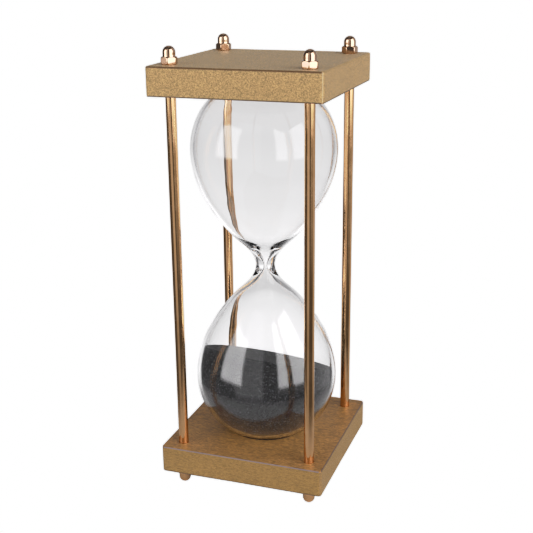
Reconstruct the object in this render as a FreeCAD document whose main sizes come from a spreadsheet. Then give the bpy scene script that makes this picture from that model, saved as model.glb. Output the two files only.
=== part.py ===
import FreeCAD, Part
import math
import os

import Sketcher

# A free-standing hourglass: two square leather-covered plates held apart by four metal
# posts, with a blown glass of two bulbs clamped between them. A threaded rod runs inside
# each post and takes a cap nut at both ends; the four lower nuts are the feet.
# Millimetres, +Z up, origin on the standing plane under the middle of the base.

DIMENSIONS = {
    "frame_height": 290.5,
    "plate_side": 120.0,
    "plate_height": 19.7,
    "plate_corner": 2.6,
    "plate_edge": 0.6,
    "leather": 0.8,
    "panel_inset": 0.4,
    "post_offset": 47.54,
    "post_outer": 7.05,
    "post_inner": 6.2,
    "socket_width": 7.5,
    "socket_depth": 4.0,
    "rod_width": 5.9,
    "rod_hole": 6.4,
    "rod_chamfer": 0.6,
    "rod_grip": 6.8,
    "nut_height": 12.0,
    "nut_flats": 10.0,
    "nut_hex_height": 5.0,
    "nut_dome": 8.45,
    "nut_bore": 6.0,
    "nut_bore_depth": 7.4,
    "nut_tip": 2.4,
    "nut_face_inset": 0.15,
    "seat_width": 57.0,
    "seat_depth": 7.5,
    "pad_outer": 55.0,
    "pad_inner": 24.0,
    "pad_thickness": 2.7,
    "glass_half": 131.2,
    "glass_wall": 2.4,
    "neck_bore": 1.6,
    "filling_hole": 9.0,
    "plug_stem": 8.8,
    "plug_stem_length": 3.2,
    "plug_head": 12.0,
    "plug_head_height": 1.4,
    "sand_gap": 0.05,
    "sand_level": 85.9,
    "sand_tilt": 20.7,
    "sand_tilt_heading": -102.0,
}

# Outer radius of the glass at each distance from the middle of its neck, up to where it
# enters its seat. Both bulbs share it, and an arc closes each end at about glass_half.
GLASS_OUTLINE = [
    (6.7, 0.0),
    (10.4, 10.0),
    (21.8, 21.6),
    (33.0, 35.0),
    (43.1, 51.5),
    (49.5, 70.0),
    (51.1, 85.0),
    (47.0, 104.3),
    (37.0, 119.0),
    (27.6, 125.3),
]
# How far from the neck its thick wall has thinned to about the wall of the bulbs.
NECK_FADE = 12.0

BEVEL_ANGLE = 30.0

# Post name: side along X, side along Y, and how far its cap nuts were turned, in degrees.
POSTS = {
    "front_left": (-1, -1, 42.0),
    "front_right": (1, -1, 40.0),
    "back_right": (1, 1, 20.0),
    "back_left": (-1, 1, 33.0),
}

doc = FreeCAD.newDocument("Hourglass")
sheet = doc.addObject("Spreadsheet::Sheet", "Sizes")
for row, (alias, value) in enumerate(DIMENSIONS.items(), start=1):
    sheet.set(f"A{row}", alias)
    sheet.set(f"B{row}", str(value))
    sheet.setAlias(f"B{row}", alias)
doc.recompute()

subparts = []


def size(alias):
    """A driving dimension as the sheet holds it."""
    return float(sheet.get(alias))


def new_body(name):
    body = doc.addObject("PartDesign::Body", name)
    body.Label = name
    subparts.append(body)
    return body


def origin_feature(body, role):
    return next(part for part in body.Origin.OriginFeatures if part.Role == role)


def new_sketch(body, name, role="XY_Plane", height=None):
    """A sketch on one of the body's origin planes, raised by the expression height."""
    sketch = body.newObject("Sketcher::SketchObject", f"{body.Name}_{name}")
    sketch.AttachmentSupport = [(origin_feature(body, role), "")]
    sketch.MapMode = "FlatFace"
    if height:
        sketch.setExpression("AttachmentOffset.Base.z", height)
    return sketch


def bind(sketch, constraint, expression):
    index = sketch.addConstraint(constraint)
    sketch.setExpression(f"Constraints[{index}]", expression)


def square_sketch(body, name, side, height=None):
    """A square about the body's Z axis, side wide."""
    sketch = new_sketch(body, name, "XY_Plane", height)
    corners = [FreeCAD.Vector(x, y, 0) for x, y in ((-9, -9), (9, -9), (9, 9), (-9, 9))]
    for start, end in zip(corners, corners[1:] + corners[:1]):
        sketch.addGeometry(Part.LineSegment(start, end))
    for edge in range(4):
        sketch.addConstraint(Sketcher.Constraint("Coincident", edge, 2, (edge + 1) % 4, 1))
    for edge in (0, 2):
        sketch.addConstraint(Sketcher.Constraint("Horizontal", edge))
        sketch.addConstraint(Sketcher.Constraint("Vertical", edge + 1))
    sketch.addConstraint(Sketcher.Constraint("Symmetric", 0, 1, 1, 2, -1, 1))
    bind(sketch, Sketcher.Constraint("DistanceX", 0, 1, 0, 2, 18.0), side)
    bind(sketch, Sketcher.Constraint("DistanceY", 1, 1, 1, 2, 18.0), side)
    return sketch


def circle_sketch(body, name, widths, height=None, offset=None):
    """Circles of the given widths on the body's axis, or at (offset, offset)."""
    sketch = new_sketch(body, name, "XY_Plane", height)
    for width in widths:
        circle = Part.Circle(FreeCAD.Vector(9, 9, 0), FreeCAD.Vector(0, 0, 1), 3)
        index = sketch.addGeometry(circle)
        bind(sketch, Sketcher.Constraint("Diameter", index, 6.0), width)
        if offset:
            bind(sketch, Sketcher.Constraint("DistanceX", -1, 1, index, 3, 9.0), offset)
            bind(sketch, Sketcher.Constraint("DistanceY", -1, 1, index, 3, 9.0), offset)
        else:
            sketch.addConstraint(Sketcher.Constraint("Coincident", index, 3, -1, 1))
    return sketch


def pad(body, sketch, length):
    feature = body.newObject("PartDesign::Pad", f"{sketch.Name}_pad")
    feature.Profile = sketch
    feature.setExpression("Length", length)
    return feature


def checked_cut(body, make):
    """Runs make, and stops if the feature that it adds takes nothing off the body."""
    doc.recompute()
    before = body.Shape.Volume
    feature = make()
    doc.recompute()
    if body.Shape.Volume > before - 1e-6:
        raise RuntimeError(f"{feature.Name} cuts nothing")
    return feature


def pocket(body, sketch, depth=None, upward=False):
    """A pocket of the sketch down from its plane, or up; through all with no depth."""
    def make():
        feature = body.newObject("PartDesign::Pocket", f"{sketch.Name}_pocket")
        feature.Profile = sketch
        feature.Reversed = upward
        if depth:
            feature.setExpression("Length", depth)
        else:
            feature.Type = "ThroughAll"
        return feature
    return checked_cut(body, make)


def four_around(body, feature):
    """Repeats a feature at the four posts, about the body's Z axis."""
    def make():
        pattern = body.newObject("PartDesign::PolarPattern", f"{feature.Name}_at_posts")
        pattern.Originals = [feature]
        pattern.Axis = (origin_feature(body, "Z_Axis"), [""])
        pattern.Angle = 360
        pattern.Occurrences = 4
        body.Tip = pattern
        return pattern
    return checked_cut(body, make)


def in_plane(points):
    """Sketch points for a turned outline given as (radius, height) in mm."""
    return [FreeCAD.Vector(radius, height, 0) for radius, height in points]


def edge_names(shape, wanted):
    return [f"Edge{i}" for i, edge in enumerate(shape.Edges, start=1) if wanted(edge)]


def upright_corner(side):
    """A test for the upright edges at the corners of a square, side wide."""
    def wanted(edge):
        middle = edge.CenterOfMass
        upright = edge.BoundBox.XLength < 1e-6 and edge.BoundBox.YLength < 1e-6
        return upright and math.isclose(abs(middle.x), side / 2) and math.isclose(abs(middle.y), side / 2)
    return wanted


def soften(body, kind, base, names, amount):
    """A fillet or chamfer of the named edges."""
    feature = body.newObject(f"PartDesign::{kind}", f"{body.Name}_{kind.lower()}_{len(body.Group)}")
    feature.Base = (base, names)
    feature.setExpression("Radius" if kind == "Fillet" else "Size", amount)
    doc.recompute()
    return feature


def revolve(body, sketch):
    feature = body.newObject("PartDesign::Revolution", f"{sketch.Name}_turned")
    feature.Profile = sketch
    feature.ReferenceAxis = (sketch, ["V_Axis"])
    feature.Angle = 360
    return feature


def stand(body, height, flipped=False, x="0", y="0", turn=0.0):
    """Places a body, upside down if flipped, turned about Z, at the given expressions."""
    half_turn = FreeCAD.Rotation(FreeCAD.Vector(1, 0, 0), 180 if flipped else 0)
    about_z = FreeCAD.Rotation(FreeCAD.Vector(0, 0, 1), turn)
    body.Placement = FreeCAD.Placement(FreeCAD.Vector(), about_z.multiply(half_turn))
    body.setExpression("Placement.Base.x", x)
    body.setExpression("Placement.Base.y", y)
    body.setExpression("Placement.Base.z", height)


# ---------------------------------------------------------------- plates
# Each plate is drawn with its outer face at Z = 0 and its inner face, the one that the
# glass and the posts meet, at the top. The upper plate is the same, turned over.

def rod_holes(body):
    sketch = circle_sketch(body, "rod_hole", ["Sizes.rod_hole"], "Sizes.plate_height", "Sizes.post_offset")
    four_around(body, pocket(body, sketch))


def sockets_and_seat(body):
    """The blind sockets of the posts and the round recess that the glass sits in."""
    top = "Sizes.plate_height"
    sketch = circle_sketch(body, "socket", ["Sizes.socket_width"], top, "Sizes.post_offset")
    four_around(body, pocket(body, sketch, "Sizes.socket_depth"))
    pocket(body, circle_sketch(body, "seat", ["Sizes.seat_width"], top), "Sizes.seat_depth")


def plate_core(name):
    body = new_body(name)
    side = "Sizes.plate_side - 2 * Sizes.leather"
    outline = square_sketch(body, "outline", side, "Sizes.leather")
    block = pad(body, outline, "Sizes.plate_height - 2 * Sizes.leather")
    doc.recompute()
    corners = edge_names(block.Shape, upright_corner(size("plate_side") - 2 * size("leather")))
    soften(body, "Fillet", block, corners, "Sizes.plate_corner - Sizes.leather")
    rod_holes(body)
    sockets_and_seat(body)
    return body


def plate_wrap(name):
    """The sheet folded over the outer face and the four sides of a plate."""
    body = new_body(name)
    outline = square_sketch(body, "outline", "Sizes.plate_side")
    block = pad(body, outline, "Sizes.plate_height - Sizes.leather")
    doc.recompute()
    corners = edge_names(block.Shape, upright_corner(size("plate_side")))
    rounded = soften(body, "Fillet", block, corners, "Sizes.plate_corner")
    hollow = square_sketch(
        body, "hollow", "Sizes.plate_side - 2 * Sizes.leather", "Sizes.plate_height - Sizes.leather"
    )
    opened = pocket(body, hollow, "Sizes.plate_height - 2 * Sizes.leather")
    inner_corners = edge_names(opened.Shape, upright_corner(size("plate_side") - 2 * size("leather")))
    lined = soften(body, "Fillet", opened, inner_corners, "Sizes.plate_corner - Sizes.leather")
    rim = edge_names(lined.Shape, lambda edge: edge.BoundBox.ZMax < 1e-6)
    soften(body, "Fillet", lined, rim, "Sizes.plate_edge")
    rod_holes(body)
    return body


def inner_panel(name):
    """The thin covered sheet that closes a plate's inner face."""
    body = new_body(name)
    side = "Sizes.plate_side - 2 * Sizes.panel_inset"
    outline = square_sketch(body, "outline", side, "Sizes.plate_height - Sizes.leather")
    block = pad(body, outline, "Sizes.leather")
    doc.recompute()
    corners = edge_names(block.Shape, upright_corner(size("plate_side") - 2 * size("panel_inset")))
    soften(body, "Fillet", block, corners, "Sizes.plate_corner - Sizes.panel_inset")
    sockets_and_seat(body)
    return body


def seat_pad(name):
    """The soft ring between a bulb's end and the floor of its seat."""
    body = new_body(name)
    ring = circle_sketch(
        body, "ring", ["Sizes.pad_outer", "Sizes.pad_inner"], "Sizes.plate_height - Sizes.seat_depth"
    )
    pad(body, ring, "Sizes.pad_thickness")
    return body


BASE_BOTTOM = "Sizes.nut_height"
FRAME_TOP = "Sizes.nut_height + Sizes.frame_height"
NECK_HEIGHT = "Sizes.nut_height + Sizes.frame_height / 2"

for level, bottom, flipped in (("base", BASE_BOTTOM, False), ("top", FRAME_TOP, True)):
    stand(plate_core(f"{level}_core"), bottom, flipped)
    stand(plate_wrap(f"{level}_wrap"), bottom, flipped)
    stand(inner_panel(f"{level}_inner_panel"), bottom, flipped)
    stand(seat_pad(f"{level}_seat_pad"), bottom, flipped)


# ---------------------------------------------------------------- posts, rods and nuts

def post_tube(name):
    body = new_body(name)
    ring = circle_sketch(body, "ring", ["Sizes.post_outer", "Sizes.post_inner"])
    pad(body, ring, "Sizes.frame_height - 2 * Sizes.plate_height + 2 * Sizes.socket_depth")
    return body


def tie_rod(name):
    body = new_body(name)
    section = circle_sketch(body, "section", ["Sizes.rod_width"])
    shaft = pad(body, section, "Sizes.frame_height + 2 * Sizes.rod_grip")
    doc.recompute()
    ends = edge_names(shaft.Shape, lambda edge: edge.BoundBox.ZLength < 1e-6)
    soften(body, "Chamfer", shaft, ends, "Sizes.rod_chamfer")
    return body


def hexagon_sketch(body, name, flats):
    """A regular hexagon about the body's Z axis, flats wide."""
    sketch = new_sketch(body, name)
    points = [
        FreeCAD.Vector(6 * math.cos(math.radians(a)), 6 * math.sin(math.radians(a)), 0)
        for a in range(0, 360, 60)
    ]
    for start, end in zip(points, points[1:] + points[:1]):
        sketch.addGeometry(Part.LineSegment(start, end))
    for edge in range(6):
        sketch.addConstraint(Sketcher.Constraint("Coincident", edge, 2, (edge + 1) % 6, 1))
    circle = sketch.addGeometry(Part.Circle(FreeCAD.Vector(), FreeCAD.Vector(0, 0, 1), 6), True)
    sketch.addConstraint(Sketcher.Constraint("Coincident", circle, 3, -1, 1))
    for edge in range(6):
        sketch.addConstraint(Sketcher.Constraint("PointOnObject", edge, 1, circle))
    for edge in range(1, 6):
        sketch.addConstraint(Sketcher.Constraint("Equal", 0, edge))
    sketch.addConstraint(Sketcher.Constraint("PointOnObject", 0, 1, -1))
    bind(sketch, Sketcher.Constraint("Radius", circle, 6.0), f"{flats} / (2 * cos(30))")
    return sketch


def turned_profile(body, name, points):
    """A closed sketch in the body's XZ plane with straight sides between the points."""
    sketch = new_sketch(body, name, "XZ_Plane")
    corners = in_plane(points)
    for start, end in zip(corners, corners[1:] + corners[:1]):
        sketch.addGeometry(Part.LineSegment(start, end))
    return sketch


def cap_nut(name):
    """A hexagon nut with a domed blind end, its open face at Z = 0 and its dome upward."""
    body = new_body(name)
    hexagon = hexagon_sketch(body, "hexagon", "Sizes.nut_flats")
    pad(body, hexagon, "Sizes.nut_hex_height")
    dome_radius = size("nut_dome") / 2
    hex_height = size("nut_hex_height")
    tip_height = size("nut_height")
    tip_radius = size("nut_tip") / 2
    centre_height = tip_height - math.sqrt(dome_radius**2 - tip_radius**2)

    dome = new_sketch(body, "dome", "XZ_Plane")
    lean = math.radians(45)
    on_arc = (dome_radius * math.cos(lean), centre_height + dome_radius * math.sin(lean))
    top, root, rim, equator, arc_middle, tip = in_plane([
        (0, tip_height),
        (0, hex_height / 2),
        (dome_radius, hex_height / 2),
        (dome_radius, centre_height),
        on_arc,
        (tip_radius, tip_height),
    ])
    for start, end in ((top, root), (root, rim), (rim, equator), (tip, top)):
        dome.addGeometry(Part.LineSegment(start, end))
    dome.addGeometry(Part.Arc(equator, arc_middle, tip))
    revolve(body, dome)

    # The bevel that rounds off a hexagon's corners at both ends, cut well past them.
    face_radius = size("nut_flats") / 2 - size("nut_face_inset")
    clear = size("nut_flats")
    rise = (clear - face_radius) * math.tan(math.radians(BEVEL_ANGLE))
    for label, height, way in (("upper", hex_height, -1), ("lower", 0.0, 1)):
        points = [(face_radius, height), (clear, height + way * rise), (clear, height)]
        profile = turned_profile(body, f"{label}_bevel", points)

        def make(profile=profile):
            groove = body.newObject("PartDesign::Groove", f"{profile.Name}_groove")
            groove.Profile = profile
            groove.ReferenceAxis = (profile, ["V_Axis"])
            groove.Angle = 360
            return groove
        checked_cut(body, make)

    bore = circle_sketch(body, "bore", ["Sizes.nut_bore"])
    pocket(body, bore, "Sizes.nut_bore_depth", upward=True)
    return body


for place, (side_x, side_y, nut_turn) in POSTS.items():
    x = f"{side_x} * Sizes.post_offset"
    y = f"{side_y} * Sizes.post_offset"
    post_bottom = f"{BASE_BOTTOM} + Sizes.plate_height - Sizes.socket_depth"
    stand(post_tube(f"post_tube_{place}"), post_bottom, x=x, y=y)
    stand(tie_rod(f"tie_rod_{place}"), f"{BASE_BOTTOM} - Sizes.rod_grip", x=x, y=y)
    stand(cap_nut(f"cap_nut_top_{place}"), FRAME_TOP, x=x, y=y, turn=nut_turn)
    stand(cap_nut(f"cap_nut_foot_{place}"), BASE_BOTTOM, flipped=True, x=x, y=y, turn=nut_turn)


# ---------------------------------------------------------------- glass, plug and sand
# The glass is drawn with the middle of its neck at Z = 0.

def wall_curve(half):
    """A smooth curve through the points of one bulb's wall and their mirror image below."""
    lower = [FreeCAD.Vector(point.x, -point.y, 0) for point in reversed(half[1:])]
    curve = Part.BSplineCurve()
    curve.interpolate(lower + half)
    return curve


def outward_at(curve, point):
    tangent = curve.tangent(curve.parameter(point))[0]
    return FreeCAD.Vector(tangent.y, -tangent.x, 0)


def end_cap(wall, way=1):
    """The arc that carries the wall's upper end on to the axis with no kink. With way -1, the
    same arc at the lower end."""
    end = wall.EndPoint
    outward = outward_at(wall, end)
    radius = end.x / outward.x
    centre_height = end.y - radius * outward.y
    half_lean = math.atan2(outward.x, outward.y) / 2
    middle = (radius * math.sin(half_lean), centre_height + radius * math.cos(half_lean))
    points = in_plane([(end.x, end.y), middle, (0.0, centre_height + radius)])
    for point in points:
        point.y *= way
    return Part.Arc(*points)


def inner_points(gap):
    """The inside of the glass, whose wall thickens towards the neck, moved in by gap."""
    outer = wall_curve(in_plane(GLASS_OUTLINE))
    neck_wall = GLASS_OUTLINE[0][0] - size("neck_bore") / 2
    points = []
    for point in in_plane(GLASS_OUTLINE):
        near_neck = math.exp(-((point.y / NECK_FADE) ** 2))
        wall = size("glass_wall") + (neck_wall - size("glass_wall")) * near_neck + gap
        points.append(point - outward_at(outer, point) * wall)
    points[0].y = 0.0
    return points


def glass_bulbs(name):
    body = new_body(name)
    profile = new_sketch(body, "profile", "XZ_Plane")
    outer = wall_curve(in_plane(GLASS_OUTLINE))
    inner = wall_curve(inner_points(0.0))
    profile.addGeometry(outer)
    profile.addGeometry(inner)
    for way in (1, -1):
        outer_end = end_cap(outer, way)
        inner_end = end_cap(inner, way)
        profile.addGeometry(outer_end)
        profile.addGeometry(inner_end)
        profile.addGeometry(Part.LineSegment(outer_end.EndPoint, inner_end.EndPoint))
    revolve(body, profile)
    hole = circle_sketch(body, "filling_hole", ["Sizes.filling_hole"], "Sizes.glass_half + 1")
    pocket(body, hole, "Sizes.glass_wall + 3")
    return body


def fill_plug(name):
    """The plug of the filling hole, drawn with its head's underside at Z = 0."""
    body = new_body(name)
    pad(body, circle_sketch(body, "head", ["Sizes.plug_head"]), "Sizes.plug_head_height")
    stem = pad(body, circle_sketch(body, "stem", ["Sizes.plug_stem"]), "Sizes.plug_stem_length")
    stem.Reversed = True
    return body


def sand(name):
    """The heap in the lower bulb, cut off by its tilted surface. Z = 0 is the neck."""
    body = new_body(name)
    inside = inner_points(size("sand_gap"))
    wall = wall_curve(inside)
    bottom = end_cap(wall, -1)
    wall.segment(wall.FirstParameter, wall.parameter(inside[0]))
    neck_on_axis = FreeCAD.Vector(0, wall.EndPoint.y, 0)
    profile = new_sketch(body, "profile", "XZ_Plane")
    profile.addGeometry(wall)
    profile.addGeometry(bottom)
    profile.addGeometry(Part.LineSegment(wall.EndPoint, neck_on_axis))
    profile.addGeometry(Part.LineSegment(neck_on_axis, bottom.EndPoint))
    revolve(body, profile)

    surface = circle_sketch(body, "surface", ["2 * Sizes.plate_side"])
    heading = math.radians(size("sand_tilt_heading"))
    tilt_axis = FreeCAD.Vector(math.sin(heading), -math.cos(heading), 0)
    surface.AttachmentOffset = FreeCAD.Placement(
        FreeCAD.Vector(0, 0, size("sand_level") - (size("nut_height") + size("frame_height") / 2)),
        FreeCAD.Rotation(tilt_axis, size("sand_tilt")),
    )
    pocket(body, surface, "Sizes.plate_side", upward=True)
    return body


stand(glass_bulbs("glass_bulbs"), NECK_HEIGHT)
stand(sand("sand"), NECK_HEIGHT)
stand(fill_plug("fill_plug"), f"{NECK_HEIGHT} + Sizes.glass_half")


# ---------------------------------------------------------------- checks and files

doc.recompute()
for item in doc.Objects:
    if "Invalid" in item.State or "Error" in item.State:
        raise RuntimeError(f"{item.Name} failed: {item.State}")
for body in subparts:
    if body.Shape.isNull() or not body.Shape.isValid():
        raise RuntimeError(f"{body.Label} has no valid shape")
    if len(body.Shape.Solids) != 1:
        raise RuntimeError(f"{body.Label} is {len(body.Shape.Solids)} solids")

os.makedirs("parts", exist_ok=True)
for body in subparts:
    body.Shape.exportStep(f"parts/{body.Label}.step")
    box = body.Shape.BoundBox
    print(f"{body.Label}: {body.Shape.Volume:.1f} mm3, Z {box.ZMin:.2f} to {box.ZMax:.2f}")
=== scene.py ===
import math

import bmesh
import bpy
import numpy as np
from mathutils import Matrix, Vector, noise


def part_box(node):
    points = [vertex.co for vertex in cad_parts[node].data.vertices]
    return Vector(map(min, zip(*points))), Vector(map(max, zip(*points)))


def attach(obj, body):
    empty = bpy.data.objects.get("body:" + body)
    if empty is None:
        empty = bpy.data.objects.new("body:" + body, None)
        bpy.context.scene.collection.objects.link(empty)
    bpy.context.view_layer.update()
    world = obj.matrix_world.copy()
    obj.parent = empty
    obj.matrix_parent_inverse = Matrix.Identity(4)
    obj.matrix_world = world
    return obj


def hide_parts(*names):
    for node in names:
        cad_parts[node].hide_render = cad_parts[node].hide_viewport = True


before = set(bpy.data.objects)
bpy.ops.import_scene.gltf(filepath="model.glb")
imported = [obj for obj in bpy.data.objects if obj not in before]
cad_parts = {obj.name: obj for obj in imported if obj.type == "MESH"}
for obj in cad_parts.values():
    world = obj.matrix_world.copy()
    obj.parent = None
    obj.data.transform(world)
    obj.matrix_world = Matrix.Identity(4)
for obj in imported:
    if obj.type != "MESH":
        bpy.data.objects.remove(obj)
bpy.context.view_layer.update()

MM = 0.001
HALF_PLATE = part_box("base_wrap")[1].x
POSTS = ("front_left", "front_right", "back_right", "back_left")

# The camera looks at a point near the axis, a little above half height.
CAMERA_AIM = Vector((0.0004, 0.0011, 0.1551))
CAMERA_DISTANCE = 0.7266
CAMERA_AZIMUTH = 19.54
CAMERA_ELEVATION = 17.68
CAMERA_ROLL = -0.61
CAMERA_LENS = 68.26
SENSOR_WIDTH = 36.0

# Scene light above 0.6 is squeezed towards white, which it reaches at WHITE_LEVEL. The
# curve's points are (scene light, shown light).
WHITE_LEVEL = 1.35
FILM_CURVE = ((0.3, 0.3), (0.6, 0.6), (0.8, 0.72), (1.0, 0.8), (1.2, 0.89))


# ---------------------------------------------------------------- node helpers

class Shader:
    """A node tree with short ways to add and join nodes."""

    def __init__(self, tree):
        self.tree = tree
        tree.nodes.clear()

    def add(self, kind, inputs=None, **settings):
        node = self.tree.nodes.new(kind)
        for key, value in settings.items():
            setattr(node, key, value)
        for key, value in (inputs or {}).items():
            self.feed(node.inputs[key], value)
        return node

    def feed(self, socket, value):
        if isinstance(value, bpy.types.NodeSocket):
            self.tree.links.new(value, socket)
        elif isinstance(value, bpy.types.Node):
            self.tree.links.new(value.outputs[0], socket)
        else:
            socket.default_value = value

    def math(self, operation, a, b=0.0):
        return self.add("ShaderNodeMath", {0: a, 1: b}, operation=operation).outputs[0]

    def ramp(self, value, low, high, low_out=0.0, high_out=1.0):
        """Smoothly from low_out to high_out as value goes from low to high."""
        node = self.add("ShaderNodeMapRange", interpolation_type="SMOOTHSTEP")
        for key, number in zip((0, 1, 2, 3, 4), (value, low, high, low_out, high_out)):
            self.feed(node.inputs[key], number)
        return node.outputs[0]

    def noise(self, vector, scale, detail=3.0, roughness=0.5, distortion=0.0):
        inputs = {"Vector": vector, "Scale": scale, "Detail": detail, "Roughness": roughness}
        inputs["Distortion"] = distortion
        return self.add("ShaderNodeTexNoise", inputs).outputs["Fac"]

    def stretched(self, vector, scale):
        return self.add("ShaderNodeMapping", {"Vector": vector, "Scale": scale}).outputs[0]

    def mix(self, factor, a, b):
        node = self.add("ShaderNodeMix", data_type="RGBA")
        colours = [socket for socket in node.inputs if socket.type == "RGBA"]
        self.feed(node.inputs[0], factor)
        self.feed(colours[0], a)
        self.feed(colours[1], b)
        return next(socket for socket in node.outputs if socket.type == "RGBA")

    def bump(self, height, strength, distance, normal=None):
        inputs = {"Height": height, "Strength": strength, "Distance": distance}
        if normal is not None:
            inputs["Normal"] = normal
        return self.add("ShaderNodeBump", inputs).outputs[0]


def new_material(name):
    material = bpy.data.materials.new(name)
    material.use_nodes = True
    return material, Shader(material.node_tree)


def finish_material(material, shader, surface):
    shader.add("ShaderNodeOutputMaterial", {"Surface": surface})
    return material


def object_coordinates(shader):
    return shader.add("ShaderNodeTexCoord").outputs["Object"]


# ---------------------------------------------------------------- materials

def scaled(colour, factor):
    return tuple(channel * factor for channel in colour[:3]) + (1.0,)


def distances(sh, place):
    """How far a point is from a plate's front, from the nearest of its four sides and from
    the nearest of its upright corners, and its height."""
    x, y, z = sh.add("ShaderNodeSeparateXYZ", {0: place}).outputs
    across, along = sh.math("ABSOLUTE", x), sh.math("ABSOLUTE", y)
    from_side = sh.math("SUBTRACT", HALF_PLATE, sh.math("MAXIMUM", across, along))
    from_corner = sh.math("SUBTRACT", HALF_PLATE, sh.math("MINIMUM", across, along))
    return sh.math("ADD", y, HALF_PLATE), from_side, from_corner, z


def gold_leather(name, gold, contrast, streak, fold, fold_shade_colour, corner_line_colour):
    """Metallic gold leatherette: a fine worm grain, a dark line of painted shade where it folds at
    the height fold, darkest near the front, a thin line of another colour up each upright corner.
    streak squeezes the grain along each axis."""
    material, sh = new_material(name)
    place = object_coordinates(sh)
    along = sh.stretched(place, streak)
    grain = sh.noise(along, 1500.0, 2.0, 0.6, 1.6)
    pebble = sh.noise(along, 1050.0, 2.0, 0.5, 0.6)
    patch = sh.noise(place, 60.0, 3.0, 0.5)
    relief = sh.math("ADD", sh.math("MULTIPLY", grain, 0.8), sh.math("MULTIPLY", pebble, 0.4))
    dark, light = scaled(gold, 1 - contrast), scaled(gold, 1 + contrast)
    colour = sh.mix(sh.ramp(relief, 0.48, 0.72), dark, light)
    colour = sh.mix(sh.ramp(patch, 0.35, 0.75, 0.0, 0.1), colour, scaled(gold, 0.6))
    from_front, from_side, from_corner, height = distances(sh, place)
    from_fold = sh.math("ABSOLUTE", sh.math("SUBTRACT", height, fold))
    near_fold = sh.ramp(from_fold, 0.35 * MM, 0.95 * MM, 1.0, 0.0)
    at_side = sh.ramp(from_side, 0.6 * MM, 1.4 * MM, 1.0, 0.0)
    at_front = sh.ramp(from_front, 0.5 * MM, 1.5 * MM, 0.95, 0.1)
    # Painted shade: a dark line along the fold by the outer face's edge, darkest near the front.
    fold_shade = sh.math("MULTIPLY", sh.math("MULTIPLY", near_fold, at_side), at_front)
    colour = sh.mix(fold_shade, colour, fold_shade_colour)
    # A thin line of another colour up each upright corner: pale on the top plate, brown on the base.
    colour = sh.mix(sh.ramp(from_corner, 0.85 * MM, 1.35 * MM, 0.6, 0.0), colour, corner_line_colour)
    rounded = sh.bump(patch, 0.2, 0.6 * MM)
    skin = sh.add("ShaderNodeBsdfPrincipled", {
        "Base Color": colour,
        "Metallic": 0.3,
        "Roughness": sh.ramp(grain, 0.3, 0.7, 0.44, 0.58),
        "Normal": sh.bump(relief, 0.8, 0.35 * MM, rounded),
        "Specular IOR Level": 0.5,
        "Sheen Weight": 0.08,
        "Sheen Roughness": 0.5,
    })
    return finish_material(material, sh, skin)


def panel_leather(name, gold, front_edge, shaded_side_edge):
    """The sheet on a plate's inner face: the same leather, flatter, with a raw cut edge, its colour
    darkened along the sides by painted shade.
    """
    material, sh = new_material(name)
    place = object_coordinates(sh)
    grain = sh.noise(sh.stretched(place, (0.35, 1.0, 1.0)), 650.0, 3.0, 0.6, 1.5)
    patch = sh.noise(place, 55.0, 3.0, 0.5)
    colour = sh.mix(sh.ramp(grain, 0.34, 0.66), scaled(gold, 0.58), scaled(gold, 1.42))
    colour = sh.mix(sh.ramp(patch, 0.35, 0.75, 0.0, 0.2), colour, scaled(gold, 0.6))
    from_front, from_side, _, _ = distances(sh, place)
    # The raw edge: its own colour at the front, painted shade in a darker colour along the sides.
    raw = sh.mix(sh.ramp(from_front, 0.8 * MM, 2.5 * MM), front_edge, shaded_side_edge)
    colour = sh.mix(sh.ramp(from_side, 0.45 * MM, 0.75 * MM, 1.0, 0.0), colour, raw)
    skin = sh.add("ShaderNodeBsdfPrincipled", {
        "Base Color": colour,
        "Metallic": 0.25,
        "Roughness": sh.ramp(grain, 0.3, 0.7, 0.42, 0.54),
        "Normal": sh.bump(sh.math("ADD", grain, patch), 0.5, 0.3 * MM),
        "Specular IOR Level": 0.8,
    })
    return finish_material(material, sh, skin)


def copper_brass(name, deep, pale):
    """Polished rose-brass plate with faint lengthwise polishing lines."""
    material, sh = new_material(name)
    place = object_coordinates(sh)
    lines = sh.noise(sh.stretched(place, (1.0, 1.0, 0.02)), 5000.0, 2.0, 0.6)
    smudge = sh.noise(place, 90.0, 3.0, 0.6)
    colour = sh.mix(sh.ramp(smudge, 0.35, 0.7), deep, pale)
    rough = sh.ramp(smudge, 0.3, 0.75, 0.07, 0.13)
    metal = sh.add("ShaderNodeBsdfPrincipled", {
        "Base Color": colour,
        "Metallic": 1.0,
        "Roughness": rough,
        "Normal": sh.bump(lines, 0.05, 0.00005),
    })
    return finish_material(material, sh, metal)


def zinc_steel():
    material, sh = new_material("zinc_steel_rod")
    place = object_coordinates(sh)
    thread = sh.add("ShaderNodeTexWave", {"Vector": place, "Scale": 160.0}, bands_direction="Z")
    grain = sh.noise(place, 700.0, 3.0)
    colour = sh.mix(grain, (0.42, 0.42, 0.44, 1), (0.62, 0.62, 0.63, 1))
    metal = sh.add("ShaderNodeBsdfPrincipled", {
        "Base Color": colour,
        "Metallic": 1.0,
        "Roughness": sh.ramp(grain, 0.3, 0.7, 0.3, 0.45),
        "Normal": sh.bump(thread.outputs["Fac"], 0.8, 0.0003),
    })
    return finish_material(material, sh, metal)


def clear_glass():
    """Blown glass. Lamps shine through it, so the sand is lit as in a thin-walled bulb."""
    material, sh = new_material("clear_blown_glass")
    place = object_coordinates(sh)
    waves = sh.noise(sh.stretched(place, (1.0, 1.0, 0.6)), 38.0, 2.0, 0.5)
    glass = sh.add("ShaderNodeBsdfPrincipled", {
        "Base Color": (1.0, 1.0, 1.0, 1),
        "Roughness": 0.0,
        "IOR": 1.5,
        "Transmission Weight": 1.0,
        "Normal": sh.bump(waves, 0.12, 0.0012),
    })
    clear = sh.add("ShaderNodeBsdfTransparent", {"Color": (0.97, 0.97, 0.97, 1)})
    shadow = sh.add("ShaderNodeLightPath").outputs["Is Shadow Ray"]
    return finish_material(material, sh, sh.add("ShaderNodeMixShader", {0: shadow, 1: glass, 2: clear}))


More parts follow.
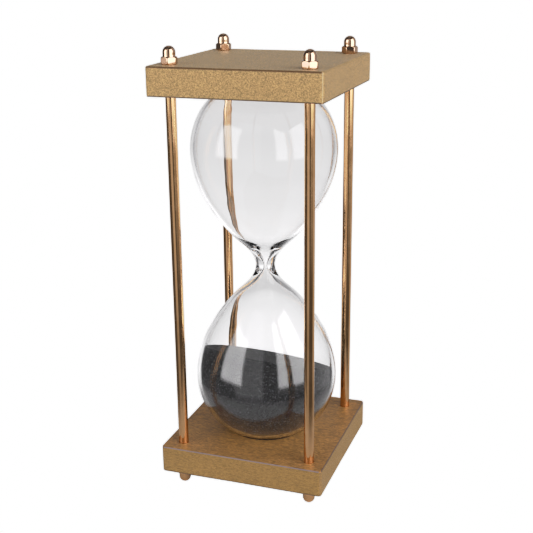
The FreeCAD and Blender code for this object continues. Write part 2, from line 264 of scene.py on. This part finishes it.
def black_sand():
    """Fine dry black sand: dark grains with a few grey and glinting ones."""
    material, sh = new_material("black_sand_grains")
    place = object_coordinates(sh)
    grains = sh.add("ShaderNodeTexVoronoi", {"Vector": place, "Scale": 1500.0})
    cell = sh.add("ShaderNodeSeparateColor", {0: grains.outputs["Color"]})
    drift = sh.noise(place, 160.0, 4.0, 0.6)
    shade = sh.ramp(cell.outputs[0], 0.1, 1.0)
    dark = sh.mix(shade, (0.002, 0.002, 0.0022, 1), (0.022, 0.022, 0.023, 1))
    glint = sh.ramp(cell.outputs[1], 0.90, 0.97)
    colour = sh.mix(glint, dark, (0.07, 0.07, 0.075, 1))
    height = sh.math("ADD", grains.outputs["Distance"], sh.math("MULTIPLY", drift, 0.8))
    sand = sh.add("ShaderNodeBsdfPrincipled", {
        "Base Color": colour,
        "Roughness": sh.ramp(glint, 0.0, 1.0, 0.75, 0.4),
        "Specular IOR Level": 0.15,
        "Normal": sh.bump(height, 0.9, 0.4 * MM),
    })
    return finish_material(material, sh, sand)


def plain_soft(name, dark, light, scale, roughness, distance):
    """Felt, rubber and fibreboard: two near tones of one colour and a fine bump."""
    material, sh = new_material(name)
    fibres = sh.noise(object_coordinates(sh), scale, 5.0, 0.7)
    surface = sh.add("ShaderNodeBsdfPrincipled", {
        "Base Color": sh.mix(sh.ramp(fibres, 0.3, 0.7), dark, light),
        "Roughness": roughness,
        "Normal": sh.bump(fibres, 0.6, distance),
    })
    return finish_material(material, sh, surface)


# ---------------------------------------------------------------- mesh helpers

def closed_mesh(name, rings, loop=False, sharp=40.0):
    """A closed mesh over rings of points. A ring of one point closes an end; with loop, the
    last ring joins the first."""
    mesh = bmesh.new()
    rows = [[mesh.verts.new(point) for point in ring] for ring in rings]
    pairs = list(zip(rows, rows[1:]))
    if loop:
        pairs.append((rows[-1], rows[0]))
    for below, above in pairs:
        count = max(len(below), len(above))
        for i in range(count):
            j = (i + 1) % count
            corners = [row[k % len(row)] for row, k in ((below, i), (below, j), (above, j), (above, i))]
            face = list(dict.fromkeys(corners))
            if len(face) > 2:
                mesh.faces.new(face)
    bmesh.ops.recalc_face_normals(mesh, faces=mesh.faces)
    data = bpy.data.meshes.new(name)
    mesh.to_mesh(data)
    mesh.free()
    data.shade_smooth()
    data.set_sharp_from_angle(angle=math.radians(sharp))
    piece = bpy.data.objects.new(name, data)
    bpy.context.scene.collection.objects.link(piece)
    return piece


def ring(radius, height, segments, centre=(0.0, 0.0)):
    if radius < 1e-7:
        return [Vector((centre[0], centre[1], height))]
    return [
        Vector((
            centre[0] + radius * math.cos(2 * math.pi * i / segments),
            centre[1] + radius * math.sin(2 * math.pi * i / segments),
            height,
        ))
        for i in range(segments)
    ]


def lathe(name, outline, segments, centre=(0.0, 0.0), loop=False, sharp=40.0):
    rings = [ring(radius, height, segments, centre) for radius, height in outline]
    return closed_mesh(name, rings, loop, sharp)


def smooth_through(points, count):
    """count points, evenly spaced by length, on a smooth curve through points."""
    points = np.array(points)
    spans = np.hypot(*np.diff(points, axis=0).T)
    distance = np.concatenate([[0.0], np.cumsum(spans)])
    system = np.zeros((len(points), len(points)))
    right = np.zeros((len(points), 2))
    system[0, 0] = system[-1, -1] = 1.0
    for i in range(1, len(points) - 1):
        before, after = spans[i - 1], spans[i]
        system[i, i - 1: i + 2] = before, 2 * (before + after), after
        right[i] = 6 * ((points[i + 1] - points[i]) / after - (points[i] - points[i - 1]) / before)
    bend = np.linalg.solve(system, right)
    at = np.linspace(0.0, distance[-1], count)
    index = np.clip(np.searchsorted(distance, at, side="right") - 1, 0, len(spans) - 1)
    span = spans[index][:, None]
    a = (distance[index + 1] - at)[:, None]
    b = (at - distance[index])[:, None]
    curve = (bend[index] * a**3 + bend[index + 1] * b**3) / (6 * span)
    curve += (points[index] / span - bend[index] * span / 6) * a
    curve += (points[index + 1] / span - bend[index + 1] * span / 6) * b
    return curve


def stand_in(piece, slot, material, *nodes):
    """Gives a piece its material and its body, and hides the CAD nodes that it stands for."""
    piece.data.materials.clear()
    piece.data.materials.append(material)
    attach(piece, "root")
    if nodes:
        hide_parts(*nodes)
    return piece


def repaint(node, material):
    """A better material on a CAD node that stays as it is."""
    for index in range(len(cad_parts[node].material_slots)):
        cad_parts[node].material_slots[index].material = material


# ---------------------------------------------------------------- measures from the frame

def middle(node):
    low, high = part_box(node)
    return (low + high) / 2


class Section:
    """The outline of a node turned about Z, cut from its mesh by the plane Y = 0. Depths go
    down from the middle of the neck, so they run along the lower bulb."""

    def __init__(self, node):
        self.neck = middle(node).z
        mesh = bmesh.new()
        mesh.from_mesh(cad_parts[node].data)
        everything = mesh.verts[:] + mesh.edges[:] + mesh.faces[:]
        cut = bmesh.ops.bisect_plane(mesh, geom=everything, plane_co=(0, 0, 0), plane_no=(0, 1, 0))
        edges = [piece for piece in cut["geom_cut"] if isinstance(piece, bmesh.types.BMEdge)]
        ends = [[(vertex.co.x, self.neck - vertex.co.z) for vertex in edge.verts] for edge in edges]
        mesh.free()
        self.lines = [(a, b) for a, b in ends if min(a[0], b[0]) >= 0 and max(a[1], b[1]) > -MM]

    def crossings(self, value, axis):
        """Where the outline crosses a radius (axis 0) or a depth (axis 1), on the other axis."""
        found = []
        for a, b in self.lines:
            if (a[axis] - value) * (b[axis] - value) <= 0 and a[axis] != b[axis]:
                part = (value - a[axis]) / (b[axis] - a[axis])
                found.append(a[1 - axis] + part * (b[1 - axis] - a[1 - axis]))
        return found

    def outline(self, pick, radii):
        """(radius, depth) points: down the wall, then over the bulb's end at the radii."""
        wall = [(pick(self.crossings(depth * MM, 1)), depth * MM) for depth in WALL_DEPTHS]
        end = []
        for radius in radii:
            deep = [depth for depth in self.crossings(radius * MM, 0) if depth > END_DEPTH * MM]
            end.append((radius * MM, pick(deep)))
        return wall + end


# Where the two outlines are read, in millimetres from the neck and then from the axis.
WALL_DEPTHS = (0, 3, 6, 10, 14, 19, 25, 32, 40, 49, 59, 69, 79, 89, 98, 106, 113)
OUTER_RADII = (38, 33, 28, 22, 15, 8, 0.1)
INNER_RADII = (36, 31, 26, 20, 13, 7, 0.1)
END_DEPTH = 110
OUTLINE_STEPS = 220


def bulb_outline(section, pick, radii):
    """One bulb's smooth outline from the neck to the axis, as (radius, depth) rows."""
    half = section.outline(pick, radii)
    mirror = [(radius, -depth) for radius, depth in reversed(half[1:])]
    whole = smooth_through(mirror + half, 2 * OUTLINE_STEPS + 1)
    rows = whole[OUTLINE_STEPS:]
    rows[0, 1] = 0.0
    rows[-1, 0] = 0.0
    return rows


# ---------------------------------------------------------------- glass and sand

GLASS_SEGMENTS = 160
# The upper bulb ends in a hole, through which the glass was filled. Only rows deeper than
# NEAR_THE_HOLE, in metres from the neck, can lie inside it.
FILL_HOLE_RADIUS = 4.5 * MM
NEAR_THE_HOLE = 0.1


def make_glass(material):
    """Both bulbs as one wall. Returns the inner outline and the height of the neck."""
    section = Section("glass_bulbs")
    outer = bulb_outline(section, max, OUTER_RADII)
    inner = bulb_outline(section, min, INNER_RADII)

    def open_ended(outline):
        rows = outline[1:]
        return [row for row in rows if row[0] > FILL_HOLE_RADIUS or row[1] < NEAR_THE_HOLE]

    neck = section.neck
    wall = [(radius, neck - depth) for radius, depth in outer[::-1]]
    wall += [(radius, neck + depth) for radius, depth in open_ended(outer)]
    wall += [(radius, neck + depth) for radius, depth in reversed(open_ended(inner))]
    wall += [(radius, neck - depth) for radius, depth in inner]
    glass = lathe("blown_glass", wall, GLASS_SEGMENTS, sharp=60.0)
    stand_in(glass, "clear_glass", material, "glass_bulbs")
    return inner, neck


SAND_RISE_ROWS = 90
SAND_TOP_ROWS = 46
SAND_SEGMENTS = 220
SAND_GAP = 0.12 * MM
# Bumps on the sand's top: waves to a metre and depth in millimetres.
SAND_RIPPLES = ((160, 0.35), (520, 0.16), (1500, 0.08))


def sand_surface_plane():
    """The middle of the CAD sand's flat top and its upward normal."""
    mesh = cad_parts["sand"].data
    top = [face for face in mesh.polygons if face.normal.z > 0.6]
    facing = max(top, key=lambda face: face.area).normal.copy()
    flat = [face for face in top if face.normal.dot(facing) > 0.9999]
    area = sum(face.area for face in flat)
    centre = sum((face.center * face.area for face in flat), Vector()) / area
    return centre, facing


def make_sand(material, inner, neck):
    """The heap: its side follows the inside of the glass, its top is gently uneven."""
    centre, normal = sand_surface_plane()
    depths = inner[:, 1]
    radii = inner[:, 0]
    floor = neck - depths[-1] + SAND_GAP

    def wall_radius(height):
        """The sand's radius against the glass at a height."""
        return max(0.0, float(np.interp(neck - height, depths, radii)) - SAND_GAP)

    def top_height(x, y):
        """The height of the sloping surface over a point."""
        slope = (centre.x - x) * normal.x + (centre.y - y) * normal.y
        return centre.z + slope / normal.z

    def rim_height(angle):
        """Where the sloping surface meets the glass, found by halving."""
        low, high = floor, neck
        for _ in range(40):
            height = (low + high) / 2
            radius = wall_radius(height)
            if top_height(radius * math.cos(angle), radius * math.sin(angle)) > height:
                low = height
            else:
                high = height
        return low

    angles = [2 * math.pi * i / SAND_SEGMENTS for i in range(SAND_SEGMENTS)]
    rims = [rim_height(angle) for angle in angles]
    rings = [[Vector((0, 0, floor))]]
    for row in range(1, SAND_RISE_ROWS + 1):
        part = (row / SAND_RISE_ROWS) ** 1.6
        points = []
        for angle, rim in zip(angles, rims):
            height = floor + (rim - floor) * part
            radius = wall_radius(height)
            points.append(Vector((radius * math.cos(angle), radius * math.sin(angle), height)))
        rings.append(points)
    edge = rings[-1]
    hub = Vector((0, 0, top_height(0, 0)))
    for row in range(1, SAND_TOP_ROWS):
        inward = row / SAND_TOP_ROWS
        points = []
        for point in edge:
            spot = point.lerp(hub, inward)
            ripple = sum(noise.noise(spot * waves) * deep for waves, deep in SAND_RIPPLES)
            spot.z += ripple * MM * min(1.0, inward * 8)
            points.append(spot)
        rings.append(points)
    rings.append([hub])
    return stand_in(closed_mesh("black_sand", rings, sharp=50.0), "black_sand", material, "sand")


# ---------------------------------------------------------------- posts and nuts

TUBE_WALL = 0.42 * MM
TUBE_EDGE = 0.15 * MM


def make_tube(post, material):
    """A post's tube, open at both ends, its outer edges slightly bevelled."""
    node = f"post_tube_{post}"
    low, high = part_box(node)
    centre = middle(node)
    outer = (high.x - low.x) / 2
    inner = outer - TUBE_WALL
    section = [
        (inner, low.z), (outer - TUBE_EDGE, low.z), (outer, low.z + TUBE_EDGE),
        (outer, high.z - TUBE_EDGE), (outer - TUBE_EDGE, high.z), (inner, high.z),
    ]
    tube = lathe(f"tube_{post}", section, 96, (centre.x, centre.y), loop=True)
    return stand_in(tube, "copper_brass", material, node)


NUT_SEGMENTS = 180
NUT_HALF_FLATS = 5.0 * MM
NUT_HEXAGON_HEIGHT = 5.0 * MM
NUT_DOME_RADIUS = 4.225 * MM
NUT_DOME_STEPS = 22
NUT_BORE_RADIUS = 2.95 * MM
NUT_BORE_DEPTH = 7.0 * MM
# How far inside the corners the hexagon is rounded and its bevels start.
NUT_CORNER_INSET = 0.12 * MM
NUT_CORNER_REACH = 0.2 * MM
NUT_CORNER_BEND = 4.0
# Levels of the hexagon's rings, in millimetres: close together where the bevels are.
NUT_LEVELS = (
    0.0, 0.12, 0.2, 0.3, 0.42, 0.56, 0.72, 0.9, 2.5, 4.1, 4.28, 4.44, 4.58, 4.7, 4.8, 4.88, 5.0,
)


def make_cap_nut(name, node, upward, turn, material):
    """A hexagon nut with bevelled corners and a domed end, swept as rings about its axis."""
    low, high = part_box(node)
    centre = middle(node)
    base, way = (low.z, 1) if upward else (high.z, -1)
    flats, hexagon_top, dome = NUT_HALF_FLATS, NUT_HEXAGON_HEIGHT, NUT_DOME_RADIUS
    corner = flats / math.cos(math.radians(30))
    height = high.z - low.z
    dome_centre = height - dome

    def hexagon(angle):
        """The hexagon's radius at an angle, its corners a little rounded."""
        facing = [math.cos(angle - math.radians(side)) for side in range(30, 390, 60)]
        exact = flats / max(facing)
        near_corner = max(0.0, exact - corner + NUT_CORNER_REACH)
        return min(exact, corner - NUT_CORNER_INSET - NUT_CORNER_BEND * near_corner ** 2)

    def bevel(level):
        """The radius that the turned bevels leave at a level of the hexagon."""
        near_end = min(level, hexagon_top - level)
        return flats - NUT_CORNER_INSET + near_end

    def hexagon_ring(level):
        return [
            (min(hexagon(angle), bevel(level)), angle, level)
            for angle in (2 * math.pi * i / NUT_SEGMENTS for i in range(NUT_SEGMENTS))
        ]

    def round_ring(radius, level):
        if radius < 1e-7:
            return [(0.0, 0.0, level)]
        return [(radius, 2 * math.pi * i / NUT_SEGMENTS, level) for i in range(NUT_SEGMENTS)]

    # The bore and its chamfer, the open face, the hexagon, the fillet under the dome, the dome.
    rows = [round_ring(0.0, NUT_BORE_DEPTH), round_ring(NUT_BORE_RADIUS, NUT_BORE_DEPTH)]
    rows += [round_ring(NUT_BORE_RADIUS, 0.25 * MM), round_ring(3.2 * MM, 0.0)]
    rows += [round_ring(flats - 0.3 * MM, 0.0)]
    rows += [hexagon_ring(level * MM) for level in NUT_LEVELS]
    rows += [round_ring(dome + 0.30 * MM, hexagon_top)]
    rows += [round_ring(dome + 0.1 * MM, hexagon_top + 0.05 * MM)]
    rows += [round_ring(dome, hexagon_top + 0.25 * MM)]
    rows += [round_ring(dome, (hexagon_top + dome_centre) / 2)]
    for step in range(NUT_DOME_STEPS):
        lean = math.radians(90 * step / NUT_DOME_STEPS)
        rows.append(round_ring(dome * math.cos(lean), dome_centre + dome * math.sin(lean)))
    rows.append(round_ring(0.0, height))
    rings = []
    for row in rows:
        rings.append([
            Vector((
                centre.x + radius * math.cos(angle + turn),
                centre.y + radius * math.sin(angle + turn),
                base + way * level,
            ))
            for radius, angle, level in row
        ])
    return stand_in(closed_mesh(name, rings, sharp=28.0), "copper_brass", material, node)


# How far each post's nuts were turned when they were tightened, in degrees.
NUT_TURNS = {"front_left": 42.0, "front_right": 40.0, "back_right": 20.0, "back_left": 33.0}


# ---------------------------------------------------------------- plates

def rounded_square(half, corner, level, side_steps=56, corner_steps=10):
    """Points round a square with rounded corners, half wide to each side, at a level."""
    corner = max(corner, 0.02 * MM)
    straight = half - corner
    points = []
    for quarter in range(4):
        start = math.radians(90 * quarter)
        along = Vector((-math.sin(start), math.cos(start), 0))
        out = Vector((math.cos(start), math.sin(start), 0))
        for step in range(side_steps):
            part = -1 + 2 * step / side_steps
            points.append(out * half + along * straight * part)
        hub = out * straight + along * straight
        for step in range(corner_steps):
            lean = math.radians(90 * step / corner_steps)
            points.append(hub + (out * math.cos(lean) + along * math.sin(lean)) * corner)
    return [Vector((point.x, point.y, level)) for point in points]


WRAP_THICKNESS = 0.8 * MM
WRAP_CORNER = 2.6 * MM
WRAP_EDGE = 1.3 * MM
WRAP_SIDE_ROWS = 16
WRAP_EDGE_ROWS = 8
# Rings on the outer face, in millimetres in from the plate's sides.
WRAP_FACE_INSETS = (2.5, 4, 6, 9, 13, 18, 24, 31, 38, 45, 52, 57)
# The leather's waves: their greatest depth, broad and fine.
WRAP_WAVE = 0.26
WRAP_FINE_WAVE = 0.07


def make_wrap(level, material):
    """The leather over a plate's outer face and sides: soft edges, and a slightly wavy skin."""
    node = f"{level}_wrap"
    low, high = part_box(node)
    half = (high.x - low.x) / 2
    thick, corner, edge = WRAP_THICKNESS, WRAP_CORNER, WRAP_EDGE
    if level == "base":
        rim, face, way = high.z, low.z, 1
    else:
        rim, face, way = low.z, high.z, -1
    tall = abs(rim - face)

    # (inset, depth) of each ring, from the open rim over the edge to the outer face.
    outside = []
    for row in range(WRAP_SIDE_ROWS + 1):
        outside.append((0.0, tall - (tall - edge) * row / WRAP_SIDE_ROWS))
    for step in range(1, WRAP_EDGE_ROWS + 1):
        lean = math.radians(90 * step / WRAP_EDGE_ROWS)
        outside.append((edge * (1 - math.cos(lean)), edge * (1 - math.sin(lean))))
    for inset in WRAP_FACE_INSETS:
        outside.append((inset * MM, 0.0))

    def waved(point, inset, depth):
        """Pulls a skin point in by up to a third of a millimetre, more along the edges."""
        wave = 0.5 + 0.5 * noise.noise(point * 42 + Vector((7, 3, 1 if level == "top" else 5)))
        fine = 0.5 + 0.5 * noise.noise(point * 210)
        pull = (WRAP_WAVE * wave + WRAP_FINE_WAVE * fine) * MM
        if inset < edge:
            outward = Vector((point.x, point.y, 0)).normalized()
            point = point - outward * pull
        if depth < edge:
            point.z += way * 0.5 * pull
        return point

    rings = [[Vector((0, 0, face))]]
    for inset, depth in reversed(outside):
        square = rounded_square(half - inset, corner - inset, face + way * depth)
        rings.append([waved(point, inset, depth) for point in square])
    for inset, depth in [(thick, tall), (thick, thick)]:
        rings.append(rounded_square(half - inset, corner - inset, face + way * depth))
    rings.append([Vector((0, 0, face + way * thick))])
    wrap = closed_mesh(f"{level}_leather_wrap", rings, sharp=60.0)
    return stand_in(wrap, "gold_leather", material, node)


# ---------------------------------------------------------------- studio

# Softboxes: their azimuths from and to, their heights from and to, all in degrees, and strength.
SOFTBOXES = {
    "left window": (-60.0, -22.0, -7.0, 36.0, 4.1),
    "right window": (38.0, 96.0, -8.0, 50.0, 4.2),
    "front fill": (-34.0, 14.0, -20.0, 60.0, 0.46),
    "low front fill": (-34.0, 14.0, -60.0, -20.0, 0.22),
    "foot of the right window": (38.0, 96.0, -17.0, -9.0, 0.2),
    "far right fill": (96.0, 150.0, -25.0, 50.0, 0.42),
}
AMBIENT = 0.08
# A ray that has passed more glass surfaces than this has come right through a bulb.
SURFACES_OF_A_BULB = 2.5


def make_world():
    """A soft studio seen only by lighting and reflections. The camera sees plain white."""
    world = bpy.data.worlds.new("soft_studio")
    bpy.context.scene.world = world
    world.use_nodes = True
    sh = Shader(world.node_tree)
    direction = sh.add("ShaderNodeSeparateXYZ", {0: sh.add("ShaderNodeTexCoord").outputs["Generated"]})
    x, y, z = direction.outputs
    to_degrees = 180 / math.pi
    azimuth = sh.math("MULTIPLY", sh.math("ARCTAN2", x, sh.math("MULTIPLY", y, -1.0)), to_degrees)
    height = sh.math("MULTIPLY", sh.math("ARCSINE", z), to_degrees)

    def window(low_azimuth, high_azimuth, low_height, high_height, strength, blur=3.0):
        """A rectangle of light with soft borders."""
        sides = sh.math(
            "MULTIPLY",
            sh.ramp(azimuth, low_azimuth - blur, low_azimuth + blur),
            sh.ramp(azimuth, high_azimuth - blur, high_azimuth + blur, 1.0, 0.0),
        )
        ends = sh.math(
            "MULTIPLY",
            sh.ramp(height, low_height - blur, low_height + blur),
            sh.ramp(height, high_height - blur, high_height + blur, 1.0, 0.0),
        )
        return sh.math("MULTIPLY", sh.math("MULTIPLY", sides, ends), strength)

    facing = math.radians(CAMERA_AZIMUTH)
    behind_x = sh.math("MULTIPLY", x, -math.sin(facing))
    behind_y = sh.math("MULTIPLY", y, math.cos(facing))
    behind = sh.math("ADD", behind_x, behind_y)
    level = sh.math("COSINE", sh.math("ARCSINE", z))
    behind = sh.math("DIVIDE", behind, sh.math("MAXIMUM", level, 0.01))
    table = sh.ramp(height, -22.0, -8.0, 1.45, 0.68)
    sky = sh.ramp(height, -4.0, 12.0, 1.0, 0.40)
    backdrop = sh.math("MULTIPLY", sh.ramp(behind, 0.74, 0.90), sh.math("MULTIPLY", table, sky))
    light = sh.math("ADD", backdrop, AMBIENT)
    for panel in SOFTBOXES.values():
        light = sh.math("ADD", light, window(*panel))
    path = sh.add("ShaderNodeLightPath").outputs
    # A ray that came right through a bulb sees the bright set behind it, from any side.
    deep = sh.math("GREATER_THAN", path["Transmission Depth"], SURFACES_OF_A_BULB)
    through = sh.math("MULTIPLY", deep, path["Is Transmission Ray"])
    clear = sh.ramp(height, -22.0, -8.0, 1.46, 0.84)
    light = sh.add("ShaderNodeMix", {0: through, 2: light, 3: clear}).outputs[0]
    seen = path["Is Camera Ray"]
    lit = sh.add("ShaderNodeBackground", {"Color": (0.995, 0.985, 1.0, 1), "Strength": light})
    white = sh.add("ShaderNodeBackground", {"Color": (1, 1, 1, 1), "Strength": WHITE_LEVEL})
    surface = sh.add("ShaderNodeMixShader", {0: seen, 1: lit, 2: white})
    sh.add("ShaderNodeOutputWorld", {"Surface": surface})


FLOOR_RADIUS = 0.26
FLOOR_FADE = (0.12, 0.24)


def make_floor():
    """A pale floor patch that fades out at its border. It lights the object from below and
    shows in reflections, but the camera doesn't see it."""
    material, sh = new_material("pale_floor")
    where = sh.add("ShaderNodeSeparateXYZ", {0: object_coordinates(sh)})
    x, y, _ = where.outputs
    away = sh.math("SQRT", sh.math("ADD", sh.math("MULTIPLY", x, x), sh.math("MULTIPLY", y, y)))
    matt = sh.add("ShaderNodeBsdfDiffuse", {"Color": (0.6, 0.6, 0.6, 1)})
    clear = sh.add("ShaderNodeBsdfTransparent")
    shader = sh.add("ShaderNodeMixShader", {0: sh.ramp(away, *FLOOR_FADE), 1: matt, 2: clear})
    finish_material(material, sh, shader)
    floor = lathe("floor_patch", [(0.0, 0.0), (FLOOR_FADE[0], 0.0), (FLOOR_RADIUS, 0.0)], 96)
    floor.data.materials.append(material)
    floor.visible_camera = False


def make_camera():
    """The camera, turned about its aim by the azimuth, elevation and roll above."""
    azimuth, elevation = math.radians(CAMERA_AZIMUTH), math.radians(CAMERA_ELEVATION)
    back = Vector((
        math.sin(azimuth) * math.cos(elevation),
        -math.cos(azimuth) * math.cos(elevation),
        math.sin(elevation),
    ))
    right = Vector((0, 0, 1)).cross(back).normalized()
    up = back.cross(right)
    turn = Matrix((right, up, back)).transposed() @ Matrix.Rotation(math.radians(CAMERA_ROLL), 3, "Z")
    camera = bpy.data.objects.new("camera", bpy.data.cameras.new("camera"))
    camera.data.lens = CAMERA_LENS
    camera.data.sensor_width = SENSOR_WIDTH
    camera.data.clip_start = 0.05
    camera.matrix_world = Matrix.Translation(CAMERA_AIM + back * CAMERA_DISTANCE) @ turn.to_4x4()
    bpy.context.scene.collection.objects.link(camera)
    bpy.context.scene.camera = camera


def set_film_curve():
    """A shoulder for the brightest tones, as a camera has: up to WHITE_LEVEL is white."""
    view = bpy.context.scene.view_settings
    view.view_transform = "Standard"
    view.use_curve_mapping = True
    mapping = view.curve_mapping
    mapping.white_level = (WHITE_LEVEL, WHITE_LEVEL, WHITE_LEVEL)
    combined = mapping.curves[3]
    for light, shown in FILM_CURVE:
        combined.points.new(light / WHITE_LEVEL, shown)
    combined.points[-1].location = (1.0, 1.0)
    mapping.update()


# ---------------------------------------------------------------- the whole scene

make_camera()
make_world()
make_floor()

# The covering folds this far in from each plate's outer face, where a line of painted shade is drawn.
FOLD_INSET = 0.6 * MM
leather = {
    # The base leather is the top's gold darkened by about a third: painted shade, since less light
    # reaches the lower plate.
    "base": gold_leather(
        "gold_leather_base",
        gold=(0.30, 0.170, 0.048),
        contrast=0.26,
        streak=(0.3, 0.6, 1.2),
        fold=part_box("base_wrap")[0].z + FOLD_INSET,
        fold_shade_colour=(0.10, 0.055, 0.025, 1),
        corner_line_colour=(0.16, 0.10, 0.06, 1),
    ),
    "top": gold_leather(
        "gold_leather_top",
        gold=(0.44, 0.285, 0.113),
        contrast=0.46,
        streak=(1.0, 1.0, 1.0),
        fold=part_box("top_wrap")[1].z - FOLD_INSET,
        fold_shade_colour=(0.10, 0.045, 0.015, 1),
        corner_line_colour=(0.66, 0.52, 0.34, 1),
    ),
}
panel = {
    "base": panel_leather(
        "gold_leather_base_panel",
        gold=(0.39, 0.195, 0.055),
        front_edge=(0.25, 0.20, 0.20, 1),
        shaded_side_edge=(0.11, 0.08, 0.09, 1),
    ),
    "top": panel_leather(
        "gold_leather_top_panel",
        gold=(0.32, 0.18, 0.06),
        front_edge=(0.10, 0.055, 0.02, 1),
        shaded_side_edge=(0.10, 0.055, 0.02, 1),
    ),
}
copper = copper_brass("copper_brass_tube", (0.77, 0.445, 0.21, 1), (0.82, 0.49, 0.25, 1))
rose = copper_brass("copper_brass_nut", (0.60, 0.38, 0.25, 1), (0.66, 0.43, 0.29, 1))
steel = zinc_steel()
board = plain_soft("fibreboard", (0.30, 0.20, 0.11, 1), (0.42, 0.30, 0.18, 1), 900.0, 0.85, 0.0002)
felt = plain_soft("dense_felt", (0.02, 0.02, 0.02, 1), (0.06, 0.055, 0.05, 1), 1500.0, 0.95, 0.0003)
rubber = plain_soft("matt_rubber", (0.02, 0.02, 0.02, 1), (0.035, 0.035, 0.035, 1), 600.0, 0.7, 0.00005)

for level in ("base", "top"):
    make_wrap(level, leather[level])
    repaint(f"{level}_inner_panel", panel[level])
    repaint(f"{level}_core", board)
    repaint(f"{level}_seat_pad", felt)
for post in POSTS:
    make_tube(post, copper)
    repaint(f"tie_rod_{post}", steel)
    turn = math.radians(NUT_TURNS[post])
    make_cap_nut(f"cap_nut_above_{post}", f"cap_nut_top_{post}", True, turn, rose)
    make_cap_nut(f"foot_nut_{post}", f"cap_nut_foot_{post}", False, -turn, copper)
repaint("fill_plug", rubber)
inner_outline, neck_level = make_glass(clear_glass())
make_sand(black_sand(), inner_outline, neck_level)

set_film_curve()
